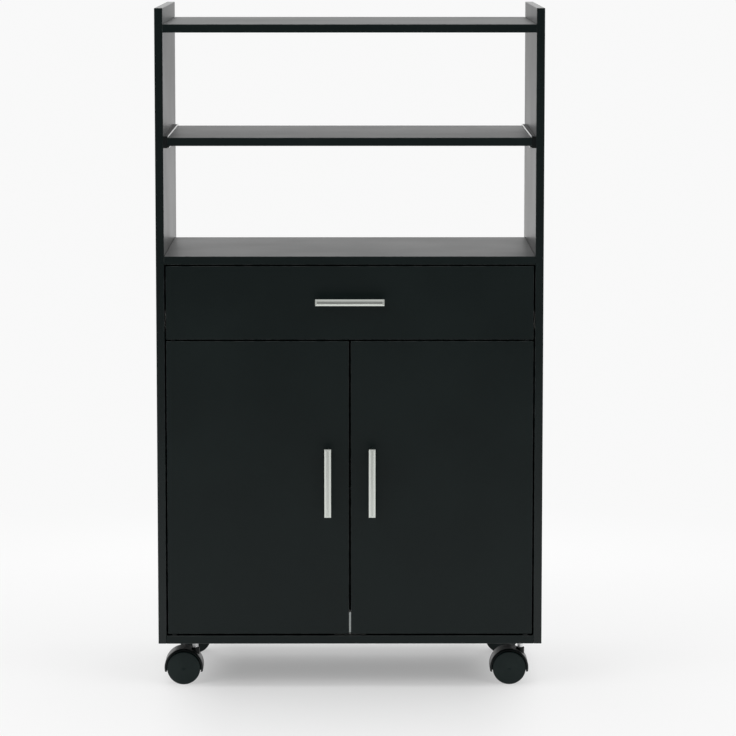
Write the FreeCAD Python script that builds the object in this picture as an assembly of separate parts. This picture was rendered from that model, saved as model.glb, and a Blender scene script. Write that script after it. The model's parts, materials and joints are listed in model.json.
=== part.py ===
import FreeCAD, Part
import math
import os

from FreeCAD import Vector

os.makedirs("parts", exist_ok=True)

# Rolling microwave stand: two side panels carry a top shelf, a pull-out middle shelf and a
# lower cabinet with one drawer and two doors, all on four swivelling twin-wheel casters.
# Millimetres. +X is to the right, +Y to the back, +Z up. The origin lies on the floor, in the
# middle of the whole stand's width and depth, handles included.

# ---- driving dimensions: carcass ---------------------------------------------------------
WIDTH = 600.0
PANEL_DEPTH = 390.0
PANEL_TOP = 1061.5
CARCASS_BASE = 70.0
BOARD = 12.7
EDGE_BREAK = 0.6
OVERCUT = 1.0  # how far a cutter runs past the face that it opens
TOP_SHELF_UNDERSIDE = 1024.0
MIDDLE_SHELF_UNDERSIDE = 850.0
COUNTER_UNDERSIDE = 666.4
CABINET_DEPTH = 335.0
BACK_SHEET = 3.0
BACK_SHEET_RAISE = 1.0
GROOVE_DEPTH = 5.0
GROOVE_PLAY = 0.1
FRONT_RAIL_DEPTH = 60.0
FRONT_RAIL_SETBACK = 14.7

# ---- fronts ------------------------------------------------------------------------------
SIDE_GAP = 2.4
DOOR_PAIR_GAP = 3.0
DOOR_BOTTOM = 85.7
DOOR_TOP = 547.3
DRAWER_FRONT_BOTTOM = 549.6
DRAWER_FRONT_TOP = 664.1

# ---- handles -----------------------------------------------------------------------------
HANDLE_LENGTH = 107.0
HANDLE_HOLE_SPACING = 96.0
HANDLE_HEIGHT = 10.2
HANDLE_PROJECTION = 28.0
HANDLE_BAR_THICKNESS = 9.0
HANDLE_BEVEL_WIDTH = 3.0
HANDLE_BEVEL_DEPTH = 1.7
HANDLE_POST_RADIUS = 3.4
HANDLE_FOOT_RADIUS = 4.0
DRAWER_HANDLE_HEIGHT = 610.0
DOOR_HANDLE_HEIGHT = 327.8
DOOR_HANDLE_OFFSET = 34.5

# ---- screws that hold the handles ----------------------------------------------------------
SCREW_RADIUS = 2.0
SCREW_HEAD_RADIUS = 4.2
SCREW_HEAD_HEIGHT = 2.6
SCREW_BITE = 11.0
SCREW_HOLE_PLAY = 0.15

# ---- door pivots and catch -----------------------------------------------------------------
PIVOT_EDGE_DISTANCE = 10.0
PIVOT_PLATE_WIDTH = 23.0
PIVOT_PLATE_LENGTH = 44.0
PIVOT_PLATE_THICKNESS = 1.2
PIVOT_PLATE_GAP = 0.4
TOP_PIN_RADIUS = 2.0
TOP_PIN_DEPTH = 14.0
BOTTOM_PIN_RADIUS = 2.5
BOTTOM_PIN_DEPTH = 16.0
PIN_COLLAR_RADIUS = 4.5
BUSH_FLANGE_RADIUS = 5.5
BUSH_FLANGE_HEIGHT = 2.0
BUSH_BARREL_RADIUS = 4.0
BUSH_BARREL_DEPTH = 9.0
BUSH_FLOOR = 1.0
RUNNING_CLEARANCE = 0.05
CATCH_WIDTH = 50.0
CATCH_DEPTH = 14.0
CATCH_HEIGHT = 37.8
CATCH_ROUND = 1.5
CATCH_FOOT_THICKNESS = 3.0
CATCH_FOOT_REACH = 10.0
CATCH_FOOT_OVERLAP = 2.0
CATCH_SCREW_RADIUS = 2.2
CATCH_SCREW_OFFSET = 15.0
CATCH_DIVIDER_HALF = 4.0
CATCH_WALL = 3.0
CATCH_POCKET_DEPTH = 1.5
CATCH_POCKET_RAISE = 9.0
CATCH_POCKET_HEIGHT = 23.8
STRIKE_WIDTH = 24.0
STRIKE_HEIGHT = 26.0
STRIKE_THICKNESS = 1.0
STRIKE_CORNER = 3.0
STRIKE_EDGE_INSET = 1.0

# ---- adjustable shelf inside the cupboard --------------------------------------------------
INNER_SHELF_UNDERSIDE = 300.0
INNER_SHELF_SETBACK = 45.0
INNER_SHELF_DEPTH = 275.0
PEG_RADIUS = 2.5
PEG_DEPTH = 8.0
PEG_TAB = 9.0
PEG_TAB_THICKNESS = 2.0
PEG_RIB_THICKNESS = 2.0
PEG_RIB_HALF_WIDTH = 3.0
PEG_RIB_DROP = 4.0
PEG_ROW_INSET = 40.0
PEG_PITCH = 32.0
PEG_ROWS = 2
SHELF_END_PLAY = 1.0

# ---- pull-out middle shelf -----------------------------------------------------------------
RAIL_OVER_SHELF = 1.4
RAIL_UNDER_SHELF = 3.4
RAIL_REACH = 9.1
RAIL_BEAD_RADIUS = 1.25
RAIL_BEAD_REACH = 7.1
RAIL_LENGTH = 325.0
SHEET_STEEL = 1.2
GLIDE_WEB = 5.2
GLIDE_LIP = 2.6
GLIDE_HEAD = 2.0
GLIDE_COVER = 0.7
GLIDE_COVER_REACH = 5.7
MIDDLE_SHELF_DEPTH = 322.0

# ---- drawer box and its roller runners -----------------------------------------------------
DRAWER_SIDE = 12.0
DRAWER_BOX_LENGTH = 300.0
DRAWER_BOX_BOTTOM = 565.0
DRAWER_BOX_HEIGHT = 85.0
DRAWER_SHEET_RAISE = 6.0
RUNNER_SPACE = 12.7
RUNNER_LENGTH = 300.0
RUNNER_START = 16.0
RUNNER_HEIGHT = 27.2
RUNNER_FLANGE = 10.7
ROLLER_RADIUS = 9.0
ROLLER_WIDTH = 7.0
ROLLER_PIN_RADIUS = 2.5
ROLLER_PIN_HEAD = 4.0
ROLLER_GROOVE = 0.8
ROLLER_ROUND = 0.6
ROLLER_INSET = 12.0
ROLLER_END_PLAY = 0.2
ROLLER_RIVET_THICKNESS = 0.7
RUNNER_ROLLER_STANDOFF = 1.2
SLIDE_ROLLER_STANDOFF = 0.7
SLIDE_LIP_PLAY = 1.0
SLIDE_LIP_SHORT = 1.5
SLIDE_FOOT_INSET = 1.0

# ---- knock-down fittings -------------------------------------------------------------------
CAM_RADIUS = 6.0
CAM_HEIGHT = 9.5
CAM_INSET = 24.0
CAM_SLOT_LENGTH = 8.4
CAM_SLOT_WIDTH = 2.0
CAM_SLOT_DEPTH = 2.0
CAM_BOLT_RADIUS = 3.0
CAM_BOLT_BITE = 9.0
CAM_PLAY = 0.1
TOP_SHELF_CAM_SETBACK = 45.0
COUNTER_CAM_SETBACK = 60.0
FRONT_RAIL_CAM_SETBACK = 40.0
FLOOR_FRONT_CAM_SETBACK = 100.0
FLOOR_REAR_CAM_SETBACK = 120.0

# ---- casters -------------------------------------------------------------------------------
WHEEL_RADIUS = 26.2
WHEEL_WIDTH = 16.2
WHEEL_ROUND = 2.2
WHEEL_CROWN = 0.8
WHEEL_CAP = 2.0
CASTER_TRAIL = 18.0
CASTER_WEB_HALF = 6.5
WEB_TO_WHEEL = 0.4
AXLE_RADIUS = 3.0
AXLE_END_PLAY = 0.5
HUB_RADIUS = 9.0
HOOD_RADIUS = 30.4
HOOD_WELL_RADIUS = 27.4
HOOD_HALF_WIDTH = 21.5
HOOD_ROUND = 3.6
HOOD_SKIRT_DROP = 6.0
BOSS_RADIUS = 6.4
BOSS_TOP = 56.0
BOSS_DEPTH = 20.0
STEM_RADIUS = 4.5
STEM_BOTTOM = 38.0
STEM_FLANGE_RADIUS = 7.5
STEM_FLANGE_HEIGHT = 3.2
THREAD_RADIUS = 4.0
T_NUT_FLANGE_RADIUS = 10.0
T_NUT_FLANGE_HEIGHT = 1.2
T_NUT_BARREL_RADIUS = 5.2
T_NUT_BARREL_DEPTH = 9.7
CASTER_SETBACK = 45.0
# stem centre of each caster: sideways from the middle, and back from the front of the carcass
CASTER_STEMS = {
    "front_left": (-244.0, CASTER_SETBACK),
    "front_right": (268.7, CASTER_SETBACK),
    "back_left": (-237.0, CABINET_DEPTH - CASTER_SETBACK),
    "back_right": (266.0, CABINET_DEPTH - CASTER_SETBACK),
}

# ---- worked out from the above -------------------------------------------------------------
FRONT = HANDLE_PROJECTION - (PANEL_DEPTH + HANDLE_PROJECTION) / 2
BACK = FRONT + PANEL_DEPTH
INNER_HALF = WIDTH / 2 - BOARD
FRONT_HALF = INNER_HALF - SIDE_GAP
FRONT_MIDDLE = FRONT + BOARD / 2
FRONT_BACK_FACE = FRONT + BOARD
CABINET_TOP = COUNTER_UNDERSIDE + BOARD
FLOOR_BOARD_TOP = CARCASS_BASE + BOARD
FIXED_BOARD_BACK = FRONT + CABINET_DEPTH - BACK_SHEET
PIVOT_X = FRONT_HALF - PIVOT_EDGE_DISTANCE
PIVOT_PLATE_TOP = DRAWER_FRONT_BOTTOM - PIVOT_PLATE_GAP
FRONT_RAIL_UNDERSIDE = PIVOT_PLATE_TOP
BUSH_TOP = FLOOR_BOARD_TOP + BUSH_FLANGE_HEIGHT
MIDDLE_SHELF_TOP = MIDDLE_SHELF_UNDERSIDE + BOARD
RAIL_UNDERSIDE = MIDDLE_SHELF_UNDERSIDE - RAIL_UNDER_SHELF
RAIL_TOP = MIDDLE_SHELF_TOP + RAIL_OVER_SHELF
RAIL_BEAD_HEIGHT = MIDDLE_SHELF_TOP + 2 * RUNNING_CLEARANCE + RAIL_BEAD_RADIUS
GLIDE_COVER_TOP = RAIL_TOP + GLIDE_COVER
GLIDE_HALF = INNER_HALF - SHEET_STEEL
SHELF_HALF = GLIDE_HALF - GLIDE_WEB - 2 * RUNNING_CLEARANCE
DRAWER_OUTER_HALF = INNER_HALF - RUNNER_SPACE
DRAWER_INNER_HALF = DRAWER_OUTER_HALF - DRAWER_SIDE
DRAWER_BOX_BACK = FRONT_BACK_FACE + DRAWER_BOX_LENGTH
SLIDE_LIP_UNDERSIDE = DRAWER_BOX_BOTTOM + RUNNER_HEIGHT - 2 * SHEET_STEEL - SLIDE_LIP_PLAY
FRONT_ROLLER_Y = FRONT + RUNNER_START + ROLLER_INSET
FRONT_ROLLER_Z = SLIDE_LIP_UNDERSIDE - RUNNING_CLEARANCE - ROLLER_RADIUS
REAR_ROLLER_Y = DRAWER_BOX_BACK - ROLLER_INSET - SHEET_STEEL
REAR_ROLLER_Z = DRAWER_BOX_BOTTOM + SHEET_STEEL + RUNNING_CLEARANCE + ROLLER_RADIUS

X_AXIS = Vector(1, 0, 0)
Y_AXIS = Vector(0, 1, 0)
Z_AXIS = Vector(0, 0, 1)


# ---- helpers -------------------------------------------------------------------------------
def block(x0, x1, y0, y1, z0, z1):
    """Box between two corners, whichever way round each pair is given."""
    corner = Vector(min(x0, x1), min(y0, y1), min(z0, z1))
    return Part.makeBox(abs(x1 - x0), abs(y1 - y0), abs(z1 - z0), corner)


def rod(radius, start, end):
    """Cylinder between two points."""
    run = end - start
    return Part.makeCylinder(radius, run.Length, start, run)


def board(x0, x1, y0, y1, z0, z1):
    """Melamine board with every edge lightly eased."""
    blank = block(x0, x1, y0, y1, z0, z1)
    return blank.makeChamfer(EDGE_BREAK, blank.Edges)


def prism(points, start_y, length):
    """Section drawn in X and Z, extruded along Y."""
    corners = [Vector(x, start_y, z) for x, z in points]
    face = Part.Face(Part.makePolygon(corners + corners[:1]))
    return face.extrude(Y_AXIS * length)


def union(pieces):
    """Pieces fused to one solid, without the seams between them."""
    return pieces[0].multiFuse(pieces[1:]).removeSplitter()


def mirrored(shape):
    """The same piece for the other side of the stand."""
    return shape.mirror(Vector(0, 0, 0), X_AXIS)


def ring_edges(shape, axis):
    """Edges that lie in a plane square to the axis named by its letter."""
    return [edge for edge in shape.Edges if getattr(edge.BoundBox, axis + "Length") < EDGE_BREAK / 2]


# ---- knock-down joints between the fixed boards and the side panels ------------------------
def cam_joints():
    """Height and depth of each fitting: (underside of its board, distance from the front)."""
    return [
        (TOP_SHELF_UNDERSIDE, TOP_SHELF_CAM_SETBACK),
        (TOP_SHELF_UNDERSIDE, PANEL_DEPTH - TOP_SHELF_CAM_SETBACK),
        (COUNTER_UNDERSIDE, COUNTER_CAM_SETBACK),
        (COUNTER_UNDERSIDE, CABINET_DEPTH - COUNTER_CAM_SETBACK),
        (FRONT_RAIL_UNDERSIDE, FRONT_RAIL_SETBACK + FRONT_RAIL_CAM_SETBACK),
        (CARCASS_BASE, FLOOR_FRONT_CAM_SETBACK),
        (CARCASS_BASE, CABINET_DEPTH - FLOOR_REAR_CAM_SETBACK),
    ]


def cam_fitting(side, underside, setback, play):
    """Cam drawn tight on its bolt; with play it is the hole that takes them."""
    y = FRONT + setback
    end = side * INNER_HALF
    cam_x = side * (INNER_HALF - CAM_INSET)
    bolt_z = underside + BOARD / 2
    top_of_cam = Vector(cam_x, y, underside + CAM_HEIGHT)
    cam = rod(CAM_RADIUS + play, Vector(cam_x, y, underside - play), top_of_cam)
    bolt_tip = Vector(end + side * CAM_BOLT_BITE, y, bolt_z)
    bolt = rod(CAM_BOLT_RADIUS + play, Vector(cam_x, y, bolt_z), bolt_tip)
    return union([cam, bolt])


def cam_slot(side, underside, setback):
    """Cross recess in a cam, for the screwdriver."""
    x = side * (INNER_HALF - CAM_INSET)
    y = FRONT + setback
    half = CAM_SLOT_LENGTH / 2
    width = CAM_SLOT_WIDTH / 2
    floor = underside + CAM_SLOT_DEPTH
    along = block(x - half, x + half, y - width, y + width, underside, floor)
    across = block(x - width, x + width, y - half, y + half, underside, floor)
    return along.fuse(across)


def cam_holes(side, underside=None):
    """Holes for the fittings of one board, or of the whole side panel."""
    return [
        cam_fitting(side, height, setback, CAM_PLAY)
        for height, setback in cam_joints()
        if underside is None or height == underside
    ]


def cam_fittings():
    fittings = []
    for side in (-1, 1):
        for underside, setback in cam_joints():
            fitting = cam_fitting(side, underside, setback, 0.0)
            fittings.append(fitting.cut(cam_slot(side, underside, setback)))
    return Part.makeCompound(fittings)


# ---- carcass -------------------------------------------------------------------------------
def peg_heights():
    first = INNER_SHELF_UNDERSIDE - PEG_TAB_THICKNESS - PEG_RADIUS
    return [first + PEG_PITCH * step for step in range(-PEG_ROWS, PEG_ROWS + 1)]


def peg_depths():
    front_row = FRONT + INNER_SHELF_SETBACK + PEG_ROW_INSET
    return [front_row, front_row + INNER_SHELF_DEPTH - 2 * PEG_ROW_INSET]


def side_panel(side):
    panel = board(side * INNER_HALF, side * WIDTH / 2, FRONT, BACK, CARCASS_BASE, PANEL_TOP)
    groove = block(
        side * (INNER_HALF - OVERCUT), side * (INNER_HALF + GROOVE_DEPTH),
        FIXED_BOARD_BACK, FRONT + CABINET_DEPTH + GROOVE_PLAY,
        CARCASS_BASE - OVERCUT, CABINET_TOP,
    )
    cuts = [groove] + cam_holes(side)
    for y in peg_depths():
        for z in peg_heights():
            mouth = Vector(side * (INNER_HALF - OVERCUT), y, z)
            end = Vector(side * (INNER_HALF + PEG_DEPTH), y, z)
            cuts.append(rod(PEG_RADIUS + GROOVE_PLAY, mouth, end))
    return panel.cut(cuts)


def fixed_board(underside, start, end):
    """Board between the side panels, held by cam fittings at both ends."""
    blank = board(-INNER_HALF, INNER_HALF, start, end, underside, underside + BOARD)
    return blank.cut(cam_holes(-1, underside) + cam_holes(1, underside))


def top_shelf():
    return fixed_board(TOP_SHELF_UNDERSIDE, FRONT, BACK)


def counter_top():
    return fixed_board(COUNTER_UNDERSIDE, FRONT, FIXED_BOARD_BACK)


def front_rail():
    start = FRONT + FRONT_RAIL_SETBACK
    return fixed_board(FRONT_RAIL_UNDERSIDE, start, start + FRONT_RAIL_DEPTH)


def bottom_board():
    base = fixed_board(CARCASS_BASE, FRONT, FIXED_BOARD_BACK)
    cuts = []
    for x, setback in CASTER_STEMS.values():
        low = Vector(x, FRONT + setback, CARCASS_BASE - OVERCUT)
        high = Vector(x, FRONT + setback, FLOOR_BOARD_TOP + OVERCUT)
        cuts.append(rod(T_NUT_BARREL_RADIUS + GROOVE_PLAY, low, high))
    for side in (-1, 1):
        top = Vector(side * PIVOT_X, FRONT_MIDDLE, FLOOR_BOARD_TOP)
        bore_floor = top - Z_AXIS * BUSH_BARREL_DEPTH
        cuts.append(rod(BUSH_BARREL_RADIUS + RUNNING_CLEARANCE, bore_floor, top + Z_AXIS * OVERCUT))
    return base.cut(cuts)


def back_panel():
    half = INNER_HALF + GROOVE_DEPTH - GROOVE_PLAY
    low = CARCASS_BASE + BACK_SHEET_RAISE
    return block(-half, half, FIXED_BOARD_BACK, FRONT + CABINET_DEPTH, low, CABINET_TOP)


def inner_shelf():
    half = INNER_HALF - SHELF_END_PLAY
    start = FRONT + INNER_SHELF_SETBACK
    top = INNER_SHELF_UNDERSIDE + BOARD
    return board(-half, half, start, start + INNER_SHELF_DEPTH, INNER_SHELF_UNDERSIDE, top)


def shelf_peg(side, y):
    """Peg in a side panel, with a ribbed tab that the loose shelf lies on."""
    top = INNER_SHELF_UNDERSIDE
    face = Vector(side * INNER_HALF, y, top - PEG_TAB_THICKNESS - PEG_RADIUS)
    inward = -X_AXIS * side
    shank = rod(PEG_RADIUS, face + inward * PEG_TAB / 2, face - inward * PEG_DEPTH)
    tab_end = side * (INNER_HALF - PEG_TAB)
    tab = block(face.x, tab_end, y - PEG_TAB / 2, y + PEG_TAB / 2, top - PEG_TAB_THICKNESS, top)
    rib = block(
        face.x, side * (INNER_HALF - PEG_RIB_THICKNESS),
        y - PEG_RIB_HALF_WIDTH, y + PEG_RIB_HALF_WIDTH, face.z - PEG_RIB_DROP, top,
    )
    return union([shank, tab, rib])


def shelf_pegs():
    return Part.makeCompound([shelf_peg(side, y) for side in (-1, 1) for y in peg_depths()])


# ---- pull-out middle shelf -----------------------------------------------------------------
def shelf_rail():
    """Steel channel on the right panel; its upper lip is rolled to a bead over the shelf's edge."""
    low = RAIL_UNDERSIDE
    high = RAIL_TOP
    back = INNER_HALF
    lip = INNER_HALF - RAIL_REACH
    bead_x = INNER_HALF - RAIL_BEAD_REACH
    section = [
        (back, low), (back, high), (bead_x, high), (bead_x, high - SHEET_STEEL),
        (back - SHEET_STEEL, high - SHEET_STEEL), (back - SHEET_STEEL, low + SHEET_STEEL),
        (lip, low + SHEET_STEEL), (lip, low),
    ]
    start = FRONT + GLIDE_HEAD
    end = FRONT + RAIL_LENGTH
    channel = prism(section, start, end - start)
    bead_start = Vector(bead_x, start, RAIL_BEAD_HEIGHT)
    bead = rod(RAIL_BEAD_RADIUS, bead_start, Vector(bead_x, end, RAIL_BEAD_HEIGHT))
    return union([channel, bead])


def shelf_glide():
    """Plastic liner in the right channel and over its top, closed at the front by a head."""
    low = RAIL_UNDERSIDE + SHEET_STEEL
    high = RAIL_TOP - SHEET_STEEL
    web = GLIDE_HALF - GLIDE_WEB
    lip = web - GLIDE_LIP
    seat = MIDDLE_SHELF_UNDERSIDE - RUNNING_CLEARANCE
    section = [
        (GLIDE_HALF, low), (GLIDE_HALF, high), (web, high), (web, seat), (lip, seat), (lip, low),
    ]
    liner = prism(section, FRONT + GLIDE_HEAD, RAIL_LENGTH - GLIDE_HEAD)
    cover_edge = INNER_HALF - GLIDE_COVER_REACH
    cover = block(
        INNER_HALF, cover_edge, FRONT + GLIDE_HEAD, FRONT + RAIL_LENGTH, RAIL_TOP, GLIDE_COVER_TOP,
    )
    head = block(web, INNER_HALF, FRONT, FRONT + GLIDE_HEAD, RAIL_UNDERSIDE, GLIDE_COVER_TOP)
    front_edges = [edge for edge in head.Edges if edge.BoundBox.YMax < FRONT + EDGE_BREAK]
    head = head.makeChamfer(EDGE_BREAK, front_edges)
    return union([liner, head, cover])


def middle_shelf():
    back = FRONT + MIDDLE_SHELF_DEPTH
    return board(-SHELF_HALF, SHELF_HALF, FRONT, back, MIDDLE_SHELF_UNDERSIDE, MIDDLE_SHELF_TOP)


# ---- handles -------------------------------------------------------------------------------
def handle_screw_places():
    """Where the two screws of a handle lying along X meet the front of its board."""
    return [Vector(side * HANDLE_HOLE_SPACING / 2, 0, 0) for side in (-1, 1)]


def handle_bar():
    """Bar lying along X, its front face bevelled all round."""
    half_length = HANDLE_LENGTH / 2
    half_height = HANDLE_HEIGHT / 2
    shoulder = HANDLE_BEVEL_DEPTH - HANDLE_PROJECTION
    rear = HANDLE_BAR_THICKNESS - HANDLE_PROJECTION
    bar = block(-half_length, half_length, shoulder, rear, -half_height, half_height)
    rear_edges = [edge for edge in ring_edges(bar, "Y") if edge.BoundBox.YMin > rear - OVERCUT]
    bar = bar.makeChamfer(EDGE_BREAK, rear_edges)
    face_length = half_length - HANDLE_BEVEL_WIDTH
    face_height = half_height - HANDLE_BEVEL_WIDTH
    bevelled = Part.makeWedge(
        -face_length, -HANDLE_PROJECTION, -face_height, -half_height, -half_length,
        face_length, shoulder, face_height, half_height, half_length,
    )
    return union([bar, bevelled])


def bridge_handle():
    """Bar pull lying along X with its back at Y = 0: a bar cast in one with two tapered posts."""
    post_length = HANDLE_PROJECTION - HANDLE_BAR_THICKNESS
    pieces = [handle_bar()]
    holes = []
    for foot in handle_screw_places():
        pieces.append(Part.makeCone(HANDLE_FOOT_RADIUS, HANDLE_POST_RADIUS, post_length, foot, -Y_AXIS))
        bore_end = foot - Y_AXIS * SCREW_BITE
        holes.append(rod(SCREW_RADIUS + RUNNING_CLEARANCE, foot + Y_AXIS * OVERCUT, bore_end))
    return union(pieces).cut(holes)


def handle_screws():
    """The two screws of a handle lying along X, driven from the back of its board."""
    screws = []
    for foot in handle_screw_places():
        seat = foot + Y_AXIS * BOARD
        shank = rod(SCREW_RADIUS, seat, foot - Y_AXIS * SCREW_BITE)
        head = rod(SCREW_HEAD_RADIUS, seat, seat + Y_AXIS * SCREW_HEAD_HEIGHT)
        rim = [edge for edge in head.Edges if edge.BoundBox.YMin > BOARD + SCREW_HEAD_HEIGHT / 2]
        screws.append(union([shank, head.makeFillet(SCREW_HEAD_HEIGHT / 2, rim)]))
    return Part.makeCompound(screws)


def handle_holes():
    """Clearance holes through a board behind a handle lying along X."""
    holes = []
    for foot in handle_screw_places():
        far_side = foot + Y_AXIS * (BOARD + OVERCUT)
        holes.append(rod(SCREW_RADIUS + SCREW_HOLE_PLAY, foot - Y_AXIS * OVERCUT, far_side))
    return Part.makeCompound(holes)


def on_drawer(shape):
    """Put a handle piece on the drawer front, lying across."""
    placed = shape.copy()
    placed.translate(Vector(0, FRONT, DRAWER_HANDLE_HEIGHT))
    return placed


def on_door(shape, side):
    """Put a handle piece on a door, standing upright near its free edge."""
    placed = shape.copy()
    placed.rotate(Vector(0, 0, 0), Y_AXIS, 90)
    placed.translate(Vector(side * DOOR_HANDLE_OFFSET, FRONT, DOOR_HANDLE_HEIGHT))
    return placed


# ---- doors ---------------------------------------------------------------------------------
def door_panel(side):
    panel = board(
        side * DOOR_PAIR_GAP / 2, side * FRONT_HALF, FRONT, FRONT_BACK_FACE, DOOR_BOTTOM, DOOR_TOP,
    )
    foot = Vector(side * PIVOT_X, FRONT_MIDDLE, DOOR_BOTTOM)
    head = Vector(side * PIVOT_X, FRONT_MIDDLE, DOOR_TOP)
    cuts = [
        on_door(handle_holes(), side),
        rod(
            BOTTOM_PIN_RADIUS + RUNNING_CLEARANCE,
            foot - Z_AXIS * OVERCUT, foot + Z_AXIS * BOTTOM_PIN_DEPTH,
        ),
        rod(
            TOP_PIN_RADIUS + RUNNING_CLEARANCE,
            head + Z_AXIS * OVERCUT, head - Z_AXIS * TOP_PIN_DEPTH,
        ),
    ]
    return panel.cut(cuts)


def door_pins(side):
    """Steel pivot pins of one door: the lower one has a collar that carries the door."""
    foot = Vector(side * PIVOT_X, FRONT_MIDDLE, DOOR_BOTTOM)
    head = Vector(side * PIVOT_X, FRONT_MIDDLE, DOOR_TOP)
    tip = FLOOR_BOARD_TOP - BUSH_BARREL_DEPTH + BUSH_FLOOR
    shank = rod(BOTTOM_PIN_RADIUS, Vector(foot.x, foot.y, tip), foot + Z_AXIS * BOTTOM_PIN_DEPTH)
    collar_base = Vector(foot.x, foot.y, BUSH_TOP + RUNNING_CLEARANCE)
    lower = union([shank, rod(PIN_COLLAR_RADIUS, collar_base, foot)])
    upper_end = Vector(head.x, head.y, PIVOT_PLATE_TOP - RUNNING_CLEARANCE)
    upper = rod(TOP_PIN_RADIUS, head - Z_AXIS * TOP_PIN_DEPTH, upper_end)
    return Part.makeCompound([lower, upper])


def pivot_plate(side):
    """Thin steel plate under the front rail: a strip with rounded rear corners and a narrower nose."""
    pivot = Vector(side * PIVOT_X, FRONT_MIDDLE, PIVOT_PLATE_TOP)
    half = PIVOT_PLATE_WIDTH / 2
    rail_front = FRONT + FRONT_RAIL_SETBACK
    tail = FRONT_MIDDLE + PIVOT_PLATE_LENGTH
    low = PIVOT_PLATE_TOP - PIVOT_PLATE_THICKNESS
    strip = block(pivot.x - half, pivot.x + half, rail_front, tail, low, PIVOT_PLATE_TOP)
    corners = [
        edge for edge in strip.Edges
        if edge.BoundBox.YMin > tail - OVERCUT and edge.BoundBox.ZLength > PIVOT_PLATE_THICKNESS / 2
    ]
    strip = strip.makeFillet(half / 2, corners)
    neck_left = pivot.x - BUSH_FLANGE_RADIUS
    neck_right = pivot.x + BUSH_FLANGE_RADIUS
    neck_end = FRONT_MIDDLE + PIVOT_PLATE_LENGTH / 2
    neck = block(neck_left, neck_right, FRONT_MIDDLE, neck_end, low, PIVOT_PLATE_TOP)
    underside = pivot - Z_AXIS * PIVOT_PLATE_THICKNESS
    nose = rod(BUSH_FLANGE_RADIUS, underside, pivot)
    hole = rod(TOP_PIN_RADIUS + RUNNING_CLEARANCE, underside - Z_AXIS * OVERCUT, pivot + Z_AXIS * OVERCUT)
    return union([strip, neck, nose]).cut(hole)


def door_pivot_plates():
    return Part.makeCompound([pivot_plate(side) for side in (-1, 1)])


def door_pivot_bushes():
    """Flanged plastic bushes in the bottom board for the doors' lower pins."""
    bushes = []
    for side in (-1, 1):
        seat = Vector(side * PIVOT_X, FRONT_MIDDLE, FLOOR_BOARD_TOP)
        top = seat + Z_AXIS * BUSH_FLANGE_HEIGHT
        barrel = rod(BUSH_BARREL_RADIUS, seat - Z_AXIS * BUSH_BARREL_DEPTH, seat)
        flange = rod(BUSH_FLANGE_RADIUS, seat, top)
        bore_floor = seat - Z_AXIS * (BUSH_BARREL_DEPTH - BUSH_FLOOR + RUNNING_CLEARANCE)
        bore = rod(BOTTOM_PIN_RADIUS + RUNNING_CLEARANCE, bore_floor, top + Z_AXIS * OVERCUT)
        bushes.append(union([barrel, flange]).cut(bore))
    return Part.makeCompound(bushes)


def magnetic_catch():
    """Twin magnetic catch standing on the bottom board, right behind the doors' free edges."""
    face = FRONT_BACK_FACE + STRIKE_THICKNESS + 2 * RUNNING_CLEARANCE
    rear = face + CATCH_DEPTH
    half = CATCH_WIDTH / 2
    top = FLOOR_BOARD_TOP + CATCH_HEIGHT
    body = block(-half, half, face, rear, FLOOR_BOARD_TOP, top)
    softened = [
        edge for edge in body.Edges
        if edge.BoundBox.ZMax > FLOOR_BOARD_TOP + OVERCUT
        and (edge.BoundBox.ZMin > top - OVERCUT or edge.BoundBox.YMin > rear - OVERCUT)
    ]
    body = body.makeFillet(CATCH_ROUND, softened)
    foot_top = FLOOR_BOARD_TOP + CATCH_FOOT_THICKNESS
    foot = block(
        -half, half, rear - CATCH_FOOT_OVERLAP, rear + CATCH_FOOT_REACH, FLOOR_BOARD_TOP, foot_top,
    )
    pocket_low = FLOOR_BOARD_TOP + CATCH_POCKET_RAISE
    cuts = []
    for side in (-1, 1):
        x = side * CATCH_SCREW_OFFSET
        y = rear + CATCH_FOOT_REACH / 2
        mouth = Vector(x, y, foot_top + OVERCUT)
        cuts.append(rod(CATCH_SCREW_RADIUS, Vector(x, y, FLOOR_BOARD_TOP - OVERCUT), mouth))
        cuts.append(block(
            side * CATCH_DIVIDER_HALF, side * (half - CATCH_WALL), face, face + CATCH_POCKET_DEPTH,
            pocket_low, pocket_low + CATCH_POCKET_HEIGHT,
        ))
    return union([body, foot]).cut(cuts)


def strike_plate(side):
    """Thin steel plate on the back of a door, facing the catch."""
    pocket_middle = (CATCH_DIVIDER_HALF + CATCH_WIDTH / 2 - CATCH_WALL) / 2
    inner = side * (DOOR_PAIR_GAP / 2 + STRIKE_EDGE_INSET)
    outer = side * (pocket_middle + STRIKE_WIDTH / 2)
    middle = FLOOR_BOARD_TOP + CATCH_POCKET_RAISE + CATCH_POCKET_HEIGHT / 2
    plate = block(
        inner, outer, FRONT_BACK_FACE, FRONT_BACK_FACE + STRIKE_THICKNESS,
        middle - STRIKE_HEIGHT / 2, middle + STRIKE_HEIGHT / 2,
    )
    corners = [edge for edge in plate.Edges if edge.BoundBox.YLength > STRIKE_THICKNESS / 2]
    return plate.makeFillet(STRIKE_CORNER, corners)


# ---- drawer --------------------------------------------------------------------------------
def sheet_groove():
    """Room for the drawer's bottom sheet in the front and the two sides."""
    low = DRAWER_BOX_BOTTOM + DRAWER_SHEET_RAISE
    half = DRAWER_INNER_HALF + GROOVE_DEPTH
    return block(
        -half, half, FRONT_BACK_FACE - GROOVE_DEPTH, DRAWER_BOX_BACK + OVERCUT,
        low, low + BACK_SHEET + GROOVE_PLAY,
    )


def drawer_front():
    blank = board(
        -FRONT_HALF, FRONT_HALF, FRONT, FRONT_BACK_FACE, DRAWER_FRONT_BOTTOM, DRAWER_FRONT_TOP,
    )
    return blank.cut([sheet_groove(), on_drawer(handle_holes())])


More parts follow.
